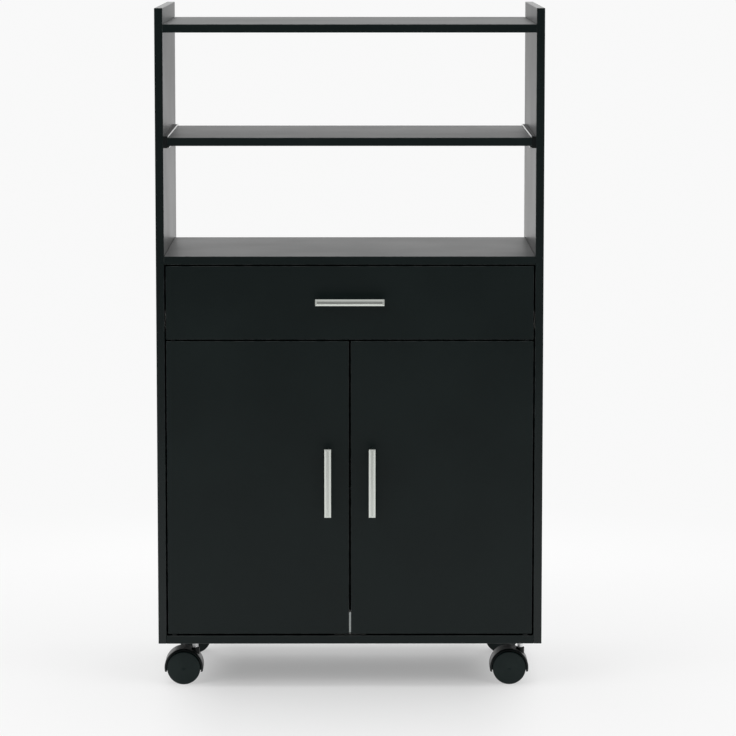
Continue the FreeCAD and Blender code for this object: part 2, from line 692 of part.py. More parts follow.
def drawer_side(side):
    blank = board(
        side * DRAWER_INNER_HALF, side * DRAWER_OUTER_HALF, FRONT_BACK_FACE, DRAWER_BOX_BACK,
        DRAWER_BOX_BOTTOM, DRAWER_BOX_BOTTOM + DRAWER_BOX_HEIGHT,
    )
    return blank.cut(sheet_groove())


def drawer_back():
    low = DRAWER_BOX_BOTTOM + DRAWER_SHEET_RAISE + BACK_SHEET
    return board(
        -DRAWER_INNER_HALF, DRAWER_INNER_HALF, DRAWER_BOX_BACK - DRAWER_SIDE, DRAWER_BOX_BACK,
        low, DRAWER_BOX_BOTTOM + DRAWER_BOX_HEIGHT,
    )


def drawer_bottom():
    low = DRAWER_BOX_BOTTOM + DRAWER_SHEET_RAISE
    half = DRAWER_INNER_HALF + GROOVE_DEPTH - GROOVE_PLAY
    start = FRONT_BACK_FACE - GROOVE_DEPTH + GROOVE_PLAY
    return block(-half, half, start, DRAWER_BOX_BACK, low, low + BACK_SHEET)


def drawer_runner():
    """Cabinet half of the right runner: a channel on the panel with a riveted roller pin."""
    back = INNER_HALF
    reach = INNER_HALF - RUNNER_FLANGE
    low = DRAWER_BOX_BOTTOM
    high = low + RUNNER_HEIGHT
    section = [
        (back, low), (back, high), (reach, high), (reach, high - SHEET_STEEL),
        (back - SHEET_STEEL, high - SHEET_STEEL), (back - SHEET_STEEL, low + SHEET_STEEL),
        (reach, low + SHEET_STEEL), (reach, low),
    ]
    channel = prism(section, FRONT + RUNNER_START, RUNNER_LENGTH)
    centre = Vector(INNER_HALF - SHEET_STEEL, FRONT_ROLLER_Y, FRONT_ROLLER_Z)
    return union([channel] + roller_pin(centre, -X_AXIS, RUNNER_ROLLER_STANDOFF))


def drawer_slide():
    """Drawer half of the right runner: an angle under the side with a riveted roller pin."""
    web_in = DRAWER_OUTER_HALF
    web_out = web_in + SHEET_STEEL
    low = DRAWER_BOX_BOTTOM - SHEET_STEEL
    lip_top = SLIDE_LIP_UNDERSIDE + SHEET_STEEL
    lip_end = INNER_HALF - SHEET_STEEL - SLIDE_LIP_SHORT
    foot = DRAWER_INNER_HALF + SLIDE_FOOT_INSET
    section = [
        (foot, low), (web_out, low), (web_out, SLIDE_LIP_UNDERSIDE), (lip_end, SLIDE_LIP_UNDERSIDE),
        (lip_end, lip_top), (web_in, lip_top), (web_in, DRAWER_BOX_BOTTOM), (foot, DRAWER_BOX_BOTTOM),
    ]
    angle = prism(section, FRONT_BACK_FACE, DRAWER_BOX_LENGTH)
    centre = Vector(web_out, REAR_ROLLER_Y, REAR_ROLLER_Z)
    return union([angle] + roller_pin(centre, X_AXIS, SLIDE_ROLLER_STANDOFF))


def roller_pin(root, outward, standoff):
    """Riveted pin standing on a web: a shoulder, the journal and the flattened head."""
    shoulder_end = root + outward * (standoff - ROLLER_END_PLAY)
    head_start = root + outward * (standoff + ROLLER_WIDTH + ROLLER_END_PLAY)
    head_end = head_start + outward * ROLLER_RIVET_THICKNESS
    return [
        rod(ROLLER_PIN_RADIUS, root, head_end),
        rod(ROLLER_PIN_HEAD, root, shoulder_end),
        rod(ROLLER_PIN_HEAD, head_start, head_end),
    ]


def roller(inner_x, y, z):
    """Grooved nylon roller on a pin that lies along X."""
    inner = Vector(inner_x, y, z)
    outer = inner + X_AXIS * ROLLER_WIDTH
    body = rod(ROLLER_RADIUS, inner, outer)
    body = body.makeFillet(ROLLER_ROUND, ring_edges(body, "X"))
    middle = (inner + outer) / 2
    groove = Part.makeTorus(ROLLER_RADIUS + ROLLER_GROOVE, 2 * ROLLER_GROOVE, middle, X_AXIS)
    bore = rod(ROLLER_PIN_RADIUS + RUNNING_CLEARANCE, inner - X_AXIS * OVERCUT, outer + X_AXIS * OVERCUT)
    return body.cut([groove, bore])


def runner_roller():
    web = INNER_HALF - SHEET_STEEL
    return roller(web - RUNNER_ROLLER_STANDOFF - ROLLER_WIDTH, FRONT_ROLLER_Y, FRONT_ROLLER_Z)


def slide_roller():
    web = DRAWER_OUTER_HALF + SHEET_STEEL
    return roller(web + SLIDE_ROLLER_STANDOFF, REAR_ROLLER_Y, REAR_ROLLER_Z)


# ---- casters -------------------------------------------------------------------------------
def wheel_centre(x, y):
    """The wheels trail to the left of their stem."""
    return Vector(x - CASTER_TRAIL, y, WHEEL_RADIUS)


def caster_hood(x, y):
    """Moulded hood: a rounded shell over both wheels, a middle web, and a boss for the stem."""
    centre = wheel_centre(x, y)
    half_width = Y_AXIS * HOOD_HALF_WIDTH
    shell = rod(HOOD_RADIUS, centre - half_width, centre + half_width)
    shell = shell.makeFillet(HOOD_ROUND, ring_edges(shell, "Y"))
    skirt = centre.z - HOOD_SKIRT_DROP
    reach = HOOD_RADIUS + OVERCUT
    below = block(centre.x - reach, centre.x + reach, y - reach, y + reach, skirt - reach, skirt)
    half_web = Y_AXIS * CASTER_WEB_HALF
    hub = rod(HUB_RADIUS, centre - half_web, centre + half_web)
    boss_top = Vector(x, y, BOSS_TOP)
    boss = rod(BOSS_RADIUS, boss_top - Z_AXIS * BOSS_DEPTH, boss_top)
    boss = boss.makeChamfer(EDGE_BREAK, ring_edges(boss, "Z"))
    solid = union([shell.cut(below), hub, boss])
    wells = [
        rod(HOOD_WELL_RADIUS, centre + half_web * side, centre + Y_AXIS * side * HOOD_RADIUS)
        for side in (-1, 1)
    ]
    stem_foot = Vector(x, y, STEM_BOTTOM - RUNNING_CLEARANCE)
    stem_bore = rod(STEM_RADIUS + RUNNING_CLEARANCE, stem_foot, boss_top + Z_AXIS * OVERCUT)
    axle_bore = rod(AXLE_RADIUS, centre - Y_AXIS * reach, centre + Y_AXIS * reach)
    return solid.cut(wells + [stem_bore, axle_bore])


def caster_axle(x, y):
    centre = wheel_centre(x, y)
    half = Y_AXIS * (CASTER_WEB_HALF + WEB_TO_WHEEL + WHEEL_WIDTH - WHEEL_CAP - AXLE_END_PLAY)
    pin = rod(AXLE_RADIUS, centre - half, centre + half)
    return pin.makeChamfer(EDGE_BREAK, ring_edges(pin, "Y"))


def caster_wheel(x, y, side):
    """One of the two wheels: rounded tread, blind bore and a slightly crowned outer face."""
    centre = wheel_centre(x, y)
    inner = CASTER_WEB_HALF + WEB_TO_WHEEL
    outer = inner + WHEEL_WIDTH
    shoulder = outer - WHEEL_CROWN
    rim = WHEEL_RADIUS - WHEEL_ROUND
    bend = WHEEL_ROUND * (1 - math.sqrt(0.5))
    crown_radius = (rim ** 2 + WHEEL_CROWN ** 2) / (2 * WHEEL_CROWN)
    half_way = math.sqrt(crown_radius ** 2 - (rim / 2) ** 2)
    bore = AXLE_RADIUS + RUNNING_CLEARANCE
    bore_end = outer - WHEEL_CAP

    def at(radius, along):
        return Vector(centre.x + radius, y + side * along, centre.z)

    def line(start, end):
        return Part.LineSegment(at(*start), at(*end)).toShape()

    def arc(start, middle, end):
        return Part.Arc(at(*start), at(*middle), at(*end)).toShape()

    edges = [
        line((bore, inner), (rim, inner)),
        arc(
            (rim, inner), (WHEEL_RADIUS - bend, inner + bend), (WHEEL_RADIUS, inner + WHEEL_ROUND),
        ),
        line((WHEEL_RADIUS, inner + WHEEL_ROUND), (WHEEL_RADIUS, shoulder - WHEEL_ROUND)),
        arc(
            (WHEEL_RADIUS, shoulder - WHEEL_ROUND), (WHEEL_RADIUS - bend, shoulder - bend),
            (rim, shoulder),
        ),
        arc((rim, shoulder), (rim / 2, outer - crown_radius + half_way), (0, outer)),
        line((0, outer), (0, bore_end)),
        line((0, bore_end), (bore, bore_end)),
        line((bore, bore_end), (bore, inner)),
    ]
    return Part.Face(Part.Wire(edges)).revolve(centre, Y_AXIS, 360)


def hexagon(radius, foot, height):
    """Six-sided prism standing on its foot point."""
    sides = 6
    corners = []
    for k in range(sides):
        turn = 2 * math.pi * k / sides
        corners.append(foot + Vector(radius * math.cos(turn), radius * math.sin(turn), 0))
    return Part.Face(Part.makePolygon(corners + corners[:1])).extrude(Z_AXIS * height)


def caster_stems():
    """Steel stems: a journal that the hood turns on, a hexagonal flange and a threaded end."""
    stems = []
    for x, setback in CASTER_STEMS.values():
        base = Vector(x, FRONT + setback, CARCASS_BASE)
        journal = rod(STEM_RADIUS, Vector(base.x, base.y, STEM_BOTTOM), base)
        flange = hexagon(STEM_FLANGE_RADIUS, base - Z_AXIS * STEM_FLANGE_HEIGHT, STEM_FLANGE_HEIGHT)
        thread = rod(THREAD_RADIUS, base, base + Z_AXIS * (BOARD + T_NUT_FLANGE_HEIGHT))
        stems.append(union([journal, flange, thread]))
    return Part.makeCompound(stems)


def caster_nuts():
    """Flanged nuts let into the bottom board from above, which take the stems."""
    nuts = []
    for x, setback in CASTER_STEMS.values():
        seat = Vector(x, FRONT + setback, FLOOR_BOARD_TOP)
        top = seat + Z_AXIS * T_NUT_FLANGE_HEIGHT
        barrel = rod(T_NUT_BARREL_RADIUS, seat - Z_AXIS * T_NUT_BARREL_DEPTH, seat)
        flange = rod(T_NUT_FLANGE_RADIUS, seat, top)
        bore = rod(THREAD_RADIUS + RUNNING_CLEARANCE, seat - Z_AXIS * BOARD, top + Z_AXIS * OVERCUT)
        nuts.append(union([barrel, flange]).cut(bore))
    return Part.makeCompound(nuts)


# ---- the whole stand -----------------------------------------------------------------------
def all_parts():
    right_rail = shelf_rail()
    right_glide = shelf_glide()
    right_runner = drawer_runner()
    right_slide = drawer_slide()
    right_runner_roller = runner_roller()
    right_slide_roller = slide_roller()
    handle = bridge_handle()
    screws = handle_screws()
    parts = {
        "side_panel_left": side_panel(-1),
        "side_panel_right": side_panel(1),
        "top_shelf": top_shelf(),
        "counter_top": counter_top(),
        "front_rail": front_rail(),
        "bottom_board": bottom_board(),
        "back_panel": back_panel(),
        "inner_shelf": inner_shelf(),
        "shelf_pegs": shelf_pegs(),
        "cam_fittings": cam_fittings(),
        "shelf_rail_left": mirrored(right_rail),
        "shelf_rail_right": right_rail,
        "shelf_glides": Part.makeCompound([mirrored(right_glide), right_glide]),
        "middle_shelf": middle_shelf(),
        "drawer_front": drawer_front(),
        "drawer_side_left": drawer_side(-1),
        "drawer_side_right": drawer_side(1),
        "drawer_back": drawer_back(),
        "drawer_bottom": drawer_bottom(),
        "drawer_handle": on_drawer(handle),
        "drawer_handle_screws": on_drawer(screws),
        "drawer_runner_left": mirrored(right_runner),
        "drawer_runner_right": right_runner,
        "drawer_slide_left": mirrored(right_slide),
        "drawer_slide_right": right_slide,
        "runner_roller_left": mirrored(right_runner_roller),
        "runner_roller_right": right_runner_roller,
        "slide_roller_left": mirrored(right_slide_roller),
        "slide_roller_right": right_slide_roller,
        "door_pivot_plates": door_pivot_plates(),
        "door_pivot_bushes": door_pivot_bushes(),
        "magnetic_catch": magnetic_catch(),
        "caster_stems": caster_stems(),
        "caster_nuts": caster_nuts(),
    }
    for name, side in (("left", -1), ("right", 1)):
        parts["door_" + name] = door_panel(side)
        parts["door_handle_" + name] = on_door(handle, side)
        parts["door_handle_screws_" + name] = on_door(screws, side)
        parts["door_pins_" + name] = door_pins(side)
        parts["strike_plate_" + name] = strike_plate(side)
    for name, (x, setback) in CASTER_STEMS.items():
        y = FRONT + setback
        parts[name + "_caster_hood"] = caster_hood(x, y)
        parts[name + "_caster_axle"] = caster_axle(x, y)
        parts[name + "_caster_front_wheel"] = caster_wheel(x, y, -1)
        parts[name + "_caster_rear_wheel"] = caster_wheel(x, y, 1)
    return parts


for node, shape in all_parts().items():
    shape.exportStep("parts/" + node + ".step")
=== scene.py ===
import json
import math

import bmesh
import bpy
from mathutils import Matrix, Vector


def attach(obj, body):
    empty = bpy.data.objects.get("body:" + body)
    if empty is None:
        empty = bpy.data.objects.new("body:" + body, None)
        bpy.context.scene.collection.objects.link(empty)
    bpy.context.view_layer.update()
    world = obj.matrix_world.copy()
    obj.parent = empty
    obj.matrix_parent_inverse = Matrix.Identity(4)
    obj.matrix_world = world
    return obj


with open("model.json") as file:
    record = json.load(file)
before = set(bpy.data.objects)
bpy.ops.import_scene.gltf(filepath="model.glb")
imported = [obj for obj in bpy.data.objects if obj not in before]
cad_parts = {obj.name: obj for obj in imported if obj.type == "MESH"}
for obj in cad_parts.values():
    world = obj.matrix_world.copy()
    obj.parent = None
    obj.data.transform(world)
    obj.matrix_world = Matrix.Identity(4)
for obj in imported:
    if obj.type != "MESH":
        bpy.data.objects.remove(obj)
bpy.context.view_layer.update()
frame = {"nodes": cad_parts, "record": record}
nodes = frame["nodes"]
scene = bpy.context.scene

# ---- dimensions of the stand that the small pieces follow, in metres ------------------------
BOARD = 0.0127
FRONT = -0.181
INNER_HALF = 0.2873
FRONT_BACK_FACE = FRONT + BOARD
FLOOR_BOARD_TOP = 0.0827
COUNTER_UNDERSIDE = 0.6664
CABINET_BACK = 0.154
DRAWER_OUTER_HALF = 0.2746
DRAWER_INNER_HALF = 0.2626
DRAWER_BOX_BOTTOM = 0.565
DRAWER_BOX_BACK = 0.1317
SHEET_STEEL = 0.0012
PIVOT_X = 0.2749
PIVOT_PLATE_UNDERSIDE = 0.5480
CATCH_CLEARANCE = 0.0011
CATCH_FACE = FRONT_BACK_FACE + CATCH_CLEARANCE
SIDES = (("left", -1), ("right", 1))

# ---- camera: a long lens well back, above the top shelf, looking slightly down --------------
SENSOR_WIDTH = 36.0
LENS = 178.64
NEAREST, FARTHEST = 0.5, 200.0
CAMERA_PLACE = (0.0098, -5.8054, 1.2118)
CAMERA_DOWN = 7.159     # degrees below level
CAMERA_TURN = -0.187    # degrees about the upright axis


def make_camera():
    data = bpy.data.cameras.new("camera")
    data.sensor_width = SENSOR_WIDTH
    data.lens = LENS
    data.clip_start = NEAREST
    data.clip_end = FARTHEST
    camera = bpy.data.objects.new("camera", data)
    camera.location = CAMERA_PLACE
    camera.rotation_euler = (math.radians(90 - CAMERA_DOWN), 0.0, math.radians(CAMERA_TURN))
    scene.collection.objects.link(camera)
    scene.camera = camera


# ---- node helpers ---------------------------------------------------------------------------
MIX_FACTOR, MIX_FIRST, MIX_SECOND, MIX_RESULT = 0, 6, 7, 2  # sockets of a Mix node for colours


def opaque(color):
    """Plain colour with full alpha; a socket stays as it is."""
    return color if isinstance(color, bpy.types.NodeSocket) else (*color, 1.0)


class Nodes:
    """Short calls for building one node tree."""

    def __init__(self, tree):
        self.tree = tree
        tree.nodes.clear()

    def add(self, kind, inputs=None, **settings):
        node = self.tree.nodes.new(kind)
        for key, value in settings.items():
            setattr(node, key, value)
        for key, value in (inputs or {}).items():
            if isinstance(value, bpy.types.NodeSocket):
                self.tree.links.new(value, node.inputs[key])
            else:
                node.inputs[key].default_value = value
        return node

    def math(self, operation, *values):
        return self.add("ShaderNodeMath", dict(enumerate(values)), operation=operation).outputs[0]

    def plus(self, first, second):
        return self.math("ADD", first, second)

    def times(self, first, second):
        return self.math("MULTIPLY", first, second)

    def split(self, vector):
        """The vector's parts along the three axes."""
        return self.add("ShaderNodeSeparateXYZ", {0: vector}).outputs

    def span(self, value, low, high, to_low=0.0, to_high=1.0):
        """Value between low and high, eased over to_low and to_high, and held beyond them."""
        inputs = {
            "Value": value, "From Min": low, "From Max": high, "To Min": to_low, "To Max": to_high,
        }
        settings = {"interpolation_type": "SMOOTHSTEP", "clamp": True}
        return self.add("ShaderNodeMapRange", inputs, **settings).outputs[0]

    def blend(self, factor, first, second):
        """Colour between two, each of them a socket or a plain colour."""
        inputs = {MIX_FACTOR: factor, MIX_FIRST: opaque(first), MIX_SECOND: opaque(second)}
        return self.add("ShaderNodeMix", inputs, data_type="RGBA").outputs[MIX_RESULT]

    def noise(self, where, scale, detail, roughness):
        inputs = {"Vector": where, "Scale": scale, "Detail": detail, "Roughness": roughness}
        return self.add("ShaderNodeTexNoise", inputs).outputs["Fac"]

    def grain(self, where, scales, detail, roughness):
        """Noise with a scale of its own along each axis."""
        stretched = self.add("ShaderNodeMapping", {"Vector": where, "Scale": scales}).outputs[0]
        return self.noise(stretched, 1.0, detail, roughness)

    def bump(self, height, distance, strength, below=None):
        inputs = {"Height": height, "Distance": distance, "Strength": strength}
        if below is not None:
            inputs["Normal"] = below
        return self.add("ShaderNodeBump", inputs).outputs[0]


def new_material(name):
    """Material with its node helper and the coordinates fixed to the object."""
    material = bpy.data.materials.new(name)
    material.use_nodes = True
    kit = Nodes(material.node_tree)
    place = kit.add("ShaderNodeTexCoord")
    return material, kit, place.outputs["Object"], place.outputs["Normal"]


def finish_material(
    kit, color, roughness, normal, metallic=0.0, specular=0.5, brushed=0.0, round_axis="Z",
):
    """Principled shader; a brushed metal's highlights spread round the axis its bar follows."""
    inputs = {"Base Color": color, "Roughness": roughness, "Normal": normal}
    shader = kit.add("ShaderNodeBsdfPrincipled", inputs)
    shader.inputs["Metallic"].default_value = metallic
    shader.inputs["Specular IOR Level"].default_value = specular
    shader.inputs["Anisotropic"].default_value = brushed
    if brushed:
        turned = kit.add("ShaderNodeTangent", direction_type="RADIAL", axis=round_axis)
        kit.tree.links.new(turned.outputs[0], shader.inputs["Tangent"])
    kit.add("ShaderNodeOutputMaterial", {"Surface": shader.outputs[0]})
    return shader


def edge_mask(kit, normal):
    """1 on faces that stand askew to all three axes, which on a board are its eased edges."""
    sizes = [kit.math("ABSOLUTE", part) for part in kit.split(normal)]
    largest = kit.math("MAXIMUM", kit.math("MAXIMUM", sizes[0], sizes[1]), sizes[2])
    return kit.span(largest, 0.80, 0.95, 1.0, 0.0)


# ---- colours, linear: most are a darker and a lighter tone that noise blends ----------------
BLACK = ((0.0020, 0.0056, 0.0055), (0.0034, 0.0078, 0.0076))
DRAWER_BLACK = ((0.010, 0.011, 0.011), (0.015, 0.016, 0.016))
RUBBED_BLACK = (0.028, 0.032, 0.032)
HARDBOARD = ((0.012, 0.0125, 0.012), (0.024, 0.023, 0.021))
NICKEL = ((0.700, 0.728, 0.686), (0.825, 0.860, 0.808))
ZINC = ((0.50, 0.51, 0.53), (0.72, 0.73, 0.74))
STEM_ZINC = ((0.80, 0.81, 0.82), (0.90, 0.90, 0.90))
RAIL_ZINC = ((0.78, 0.79, 0.78), (0.90, 0.91, 0.90))
POLISHED_ZINC = ((0.250, 0.270, 0.264), (0.300, 0.318, 0.313))
BLACKENED_STEEL = ((0.012, 0.013, 0.014), (0.026, 0.027, 0.028))
ENAMEL = ((0.66, 0.65, 0.61), (0.73, 0.72, 0.68))
TRACK_GREY = (0.33, 0.33, 0.33)
PLASTIC_BLACK = ((0.0030, 0.0045, 0.0045), (0.0055, 0.0070, 0.0070))
PLASTIC_BLACK_SCUFF = (0.04, 0.04, 0.04)
PLASTIC_WHITE = ((0.74, 0.74, 0.71), (0.80, 0.80, 0.78))
PLASTIC_WHITE_SCUFF = (0.55, 0.54, 0.50)
HOOD_BLACK = ((0.0034, 0.0058, 0.0058), (0.0058, 0.0086, 0.0085))
HOOD_SCUFF = (0.034, 0.038, 0.038)
WHEEL_BLACK = ((0.0050, 0.0116, 0.0110), (0.0080, 0.0152, 0.0144))
WHEEL_DUST = (0.040, 0.039, 0.037)

# ---- materials ------------------------------------------------------------------------------
UNEVENNESS = 0.08           # mean roughness that a laminate's clouds and pores add
LEAST_ROUGHNESS = 0.08
FACE_OR_BAND = (0.3, 0.8)   # a board's edge band lies below this span of the normal, its face above
TOP_EDGE_POLISH = 0.03
SCREEN_THREADS = 4200.0     # radians per metre: threads 1.5 mm apart
PLASTIC_UNEVENNESS = 0.05
BRUSHING = 0.45


def laminate(name, thin_axis, tones, face, band):
    """Melamine board, thin along one axis; its faces and its edge band each have a finish.

    A finish is a pair: roughness and specular level. Materials made for the first axis, which
    the side panels and the drawer's box take, have a slightly smoother upper edge.
    """
    material, kit, where, normal = new_material(name)
    clouds = kit.noise(where, scale=7.0, detail=3.0, roughness=0.55)
    specks = kit.noise(where, scale=1400.0, detail=2.0, roughness=0.6)
    pores = kit.grain(where, (900.0, 900.0, 900.0), detail=3.0, roughness=0.6)
    tone = kit.plus(kit.times(clouds, 0.6), kit.times(specks, 0.4))
    clean = kit.blend(kit.span(tone, 0.35, 0.65), *tones)
    wear = kit.span(kit.noise(where, scale=60.0, detail=4.0, roughness=0.7), 0.38, 0.62)
    color = kit.blend(kit.times(edge_mask(kit, normal), wear), clean, RUBBED_BLACK)
    uneven = kit.plus(kit.times(clouds, 0.10), kit.times(pores, 0.06))
    parts = kit.split(normal)
    facing = kit.math("ABSOLUTE", parts[thin_axis])
    roughness = kit.span(facing, *FACE_OR_BAND, band[0] - UNEVENNESS, face[0] - UNEVENNESS)
    if thin_axis == 0:
        polish = kit.span(parts[2], 0.5, 0.9, 0.0, TOP_EDGE_POLISH)
        roughness = kit.math("SUBTRACT", roughness, polish)
    gloss = kit.math("MAXIMUM", kit.plus(uneven, roughness), LEAST_ROUGHNESS)
    fine = kit.bump(pores, distance=0.00004, strength=0.5)
    relief = kit.bump(clouds, distance=0.0006, strength=0.25, below=fine)
    shader = finish_material(kit, color, gloss, relief, specular=face[1])
    if band[1] != face[1]:
        varied = kit.span(facing, *FACE_OR_BAND, band[1], face[1])
        kit.tree.links.new(varied, shader.inputs["Specular IOR Level"])
    return material


def hardboard(name):
    """Thin black hardboard: smooth towards the cabinet, pressed with a wire screen behind."""
    material, kit, where, normal = new_material(name)
    axes = kit.split(where)
    warp = kit.math("SINE", kit.times(axes[0], SCREEN_THREADS))
    weft = kit.math("SINE", kit.times(axes[2], SCREEN_THREADS))
    rear = kit.span(kit.split(normal)[1], 0.4, 0.6)
    screen = kit.times(kit.math("MAXIMUM", warp, weft), rear)
    fibres = kit.grain(where, (160.0, 160.0, 420.0), detail=5.0, roughness=0.65)
    color = kit.blend(kit.span(fibres, 0.35, 0.7), *HARDBOARD)
    height = kit.plus(kit.times(screen, 0.5), fibres)
    gloss = kit.plus(kit.times(rear, 0.2), kit.span(fibres, 0.3, 0.7, 0.5, 0.62))
    relief = kit.bump(height, distance=0.00018, strength=0.6)
    finish_material(kit, color, gloss, relief, specular=0.2)
    return material


def brushed_nickel(name, lengthwise, roughness):
    """Satin nickel with fine brushing along the bar."""
    material, kit, where, _ = new_material(name)
    scales = tuple(28.0 if axis == lengthwise else 3000.0 for axis in range(3))
    streaks = kit.grain(where, scales, detail=3.0, roughness=0.6)
    patches = kit.noise(where, scale=90.0, detail=3.0, roughness=0.6)
    color = kit.blend(kit.span(streaks, 0.3, 0.7), *NICKEL)
    gloss = kit.plus(kit.span(streaks, 0.3, 0.7, *roughness), kit.times(patches, 0.04))
    relief = kit.bump(streaks, distance=0.00002, strength=0.35)
    bar = "XYZ"[lengthwise]
    finish_material(kit, color, gloss, relief, metallic=1.0, brushed=BRUSHING, round_axis=bar)
    return material


def zinc_plate(name, roughness, tones=ZINC, relief=0.5):
    """Bright zinc plate: soft crystal patches, drawing lines and a few dull spots."""
    material, kit, where, _ = new_material(name)
    cells = kit.add("ShaderNodeTexVoronoi", {"Vector": where, "Scale": 420.0})
    lines = kit.grain(where, (1800.0, 60.0, 1800.0), detail=3.0, roughness=0.6)
    dull = kit.noise(where, scale=130.0, detail=4.0, roughness=0.65)
    tone = kit.plus(kit.times(cells.outputs["Distance"], 0.5), kit.times(lines, 0.6))
    color = kit.blend(kit.span(tone, 0.3, 0.75), *tones)
    gloss = kit.plus(kit.span(dull, 0.35, 0.7, *roughness), kit.times(lines, 0.06))
    drawn = kit.bump(lines, distance=0.00003, strength=relief)
    finish_material(kit, color, gloss, drawn, metallic=1.0)
    return material


def enamel(name):
    """Off-white enamel on folded steel, with a grey track where the rollers run."""
    material, kit, where, normal = new_material(name)
    peel = kit.noise(where, scale=900.0, detail=2.0, roughness=0.5)
    stains = kit.grain(where, (120.0, 9.0, 120.0), detail=4.0, roughness=0.6)
    flat = kit.math("ABSOLUTE", kit.split(normal)[2])
    track = kit.times(kit.span(flat, 0.7, 0.9), kit.span(stains, 0.42, 0.62))
    clean = kit.blend(kit.span(peel, 0.3, 0.7), *ENAMEL)
    color = kit.blend(kit.times(track, 0.55), clean, TRACK_GREY)
    gloss = kit.plus(kit.times(track, 0.15), kit.span(peel, 0.3, 0.7, 0.28, 0.36))
    finish_material(kit, color, gloss, kit.bump(peel, distance=0.00003, strength=0.5))
    return material


def plastic(name, tones, scuff, roughness, grain=1600.0, specular=0.4):
    """Moulded plastic: fine spark-eroded grain, slow colour drift, scuffs on edges and curves."""
    material, kit, where, normal = new_material(name)
    texture = kit.noise(where, grain, detail=3.0, roughness=0.6)
    drift = kit.noise(where, scale=35.0, detail=3.0, roughness=0.5)
    scratches = kit.grain(where, (70.0, 500.0, 240.0), detail=5.0, roughness=0.7)
    clean = kit.blend(kit.span(drift, 0.35, 0.65), *tones)
    rubbed = kit.span(scratches, 0.60, 0.72, 0.0, 0.35)
    worn = kit.times(rubbed, kit.plus(edge_mask(kit, normal), 0.15))
    color = kit.blend(worn, clean, scuff)
    smoothest, roughest = roughness - PLASTIC_UNEVENNESS, roughness + PLASTIC_UNEVENNESS
    eroded = kit.span(texture, 0.3, 0.7, smoothest, roughest)
    gloss = kit.plus(kit.times(rubbed, 0.3), eroded)
    relief = kit.bump(texture, distance=0.00005, strength=0.6)
    finish_material(kit, color, gloss, relief, specular=specular)
    return material


def wheel_plastic(name):
    """Hard black wheel: a clean disc and a dusty, scuffed tread."""
    material, kit, where, normal = new_material(name)
    tread = kit.span(kit.math("ABSOLUTE", kit.split(normal)[1]), 0.02, 0.30, 1.0, 0.0)
    dust = kit.noise(where, scale=220.0, detail=5.0, roughness=0.7)
    drift = kit.noise(where, scale=60.0, detail=2.0, roughness=0.5)
    scuffs = kit.times(tread, kit.span(dust, 0.42, 0.66))
    clean = kit.blend(kit.span(drift, 0.3, 0.7), *WHEEL_BLACK)
    color = kit.blend(kit.times(scuffs, 0.5), clean, WHEEL_DUST)
    gloss = kit.plus(kit.times(scuffs, 0.25), kit.span(dust, 0.3, 0.7, 0.36, 0.46))
    relief = kit.bump(dust, distance=0.00006, strength=0.5)
    finish_material(kit, color, gloss, relief, specular=0.22)
    return material


RECIPES = {
    "laminate_side": (
        laminate, dict(thin_axis=0, tones=BLACK, face=(0.30, 0.20), band=(0.26, 0.34))),
    "laminate_front": (
        laminate, dict(thin_axis=1, tones=BLACK, face=(0.40, 0.25), band=(0.36, 0.25))),
    "laminate_shelf": (
        laminate, dict(thin_axis=2, tones=BLACK, face=(0.385, 0.535), band=(0.40, 0.24))),
    "drawer_board": (
        laminate, dict(thin_axis=0, tones=DRAWER_BLACK, face=(0.46, 0.22), band=(0.46, 0.22))),
    "black_hardboard": (hardboard, {}),
    "nickel_across": (brushed_nickel, dict(lengthwise=0, roughness=(0.15, 0.22))),
    "nickel_upright": (brushed_nickel, dict(lengthwise=2, roughness=(0.22, 0.31))),
    "zinc_steel": (zinc_plate, dict(roughness=(0.26, 0.42))),
    "zinc_stem": (zinc_plate, dict(roughness=(0.44, 0.56), tones=STEM_ZINC)),
    "zinc_rail": (zinc_plate, dict(roughness=(0.24, 0.36), tones=RAIL_ZINC)),
    "zinc_polished": (
        zinc_plate, dict(roughness=(0.03, 0.05), tones=POLISHED_ZINC, relief=0.02)),
    "blackened_steel": (zinc_plate, dict(roughness=(0.42, 0.56), tones=BLACKENED_STEEL)),
    "runner_enamel": (enamel, {}),
    "black_plastic": (
        plastic, dict(
            tones=PLASTIC_BLACK, scuff=PLASTIC_BLACK_SCUFF, roughness=0.42, specular=0.2)),
    "white_plastic": (
        plastic, dict(tones=PLASTIC_WHITE, scuff=PLASTIC_WHITE_SCUFF, roughness=0.36)),
    "caster_hood_plastic": (
        plastic, dict(
            tones=HOOD_BLACK, scuff=HOOD_SCUFF, roughness=0.34, grain=1100.0, specular=0.22)),
    "caster_wheel_plastic": (wheel_plastic, {}),
}
MATERIALS = {name: make(name, **values) for name, (make, values) in RECIPES.items()}

# Nodes whose finish differs from that of their slot, and slots whose finish has another name.
OWN_FINISH = {
    "side_panel_left": "laminate_side",
    "side_panel_right": "laminate_side",
    "drawer_front": "laminate_front",
    "door_left": "laminate_front",
    "door_right": "laminate_front",
    "drawer_handle": "nickel_across",
    "caster_stems": "zinc_stem",
    "shelf_rail_left": "zinc_rail",
    "shelf_rail_right": "zinc_rail",
    "door_pins_left": "blackened_steel",
    "door_pins_right": "blackened_steel",
    "door_pivot_plates": "blackened_steel",
}
FINISH_OF_SLOT = {"black_laminate": "laminate_shelf", "satin_nickel": "nickel_upright"}


def dress_nodes():
    """Every CAD node gets a finish of its own, or else the one of its slot."""
    slot_of_node = {part["node"]: part["material_slot"] for part in frame["record"]["subparts"]}
    for name, node in nodes.items():
        slot = slot_of_node[name]
        finish = OWN_FINISH.get(name, FINISH_OF_SLOT.get(slot, slot))
        for index in range(len(node.data.materials)):
            node.data.materials[index] = MATERIALS[finish]


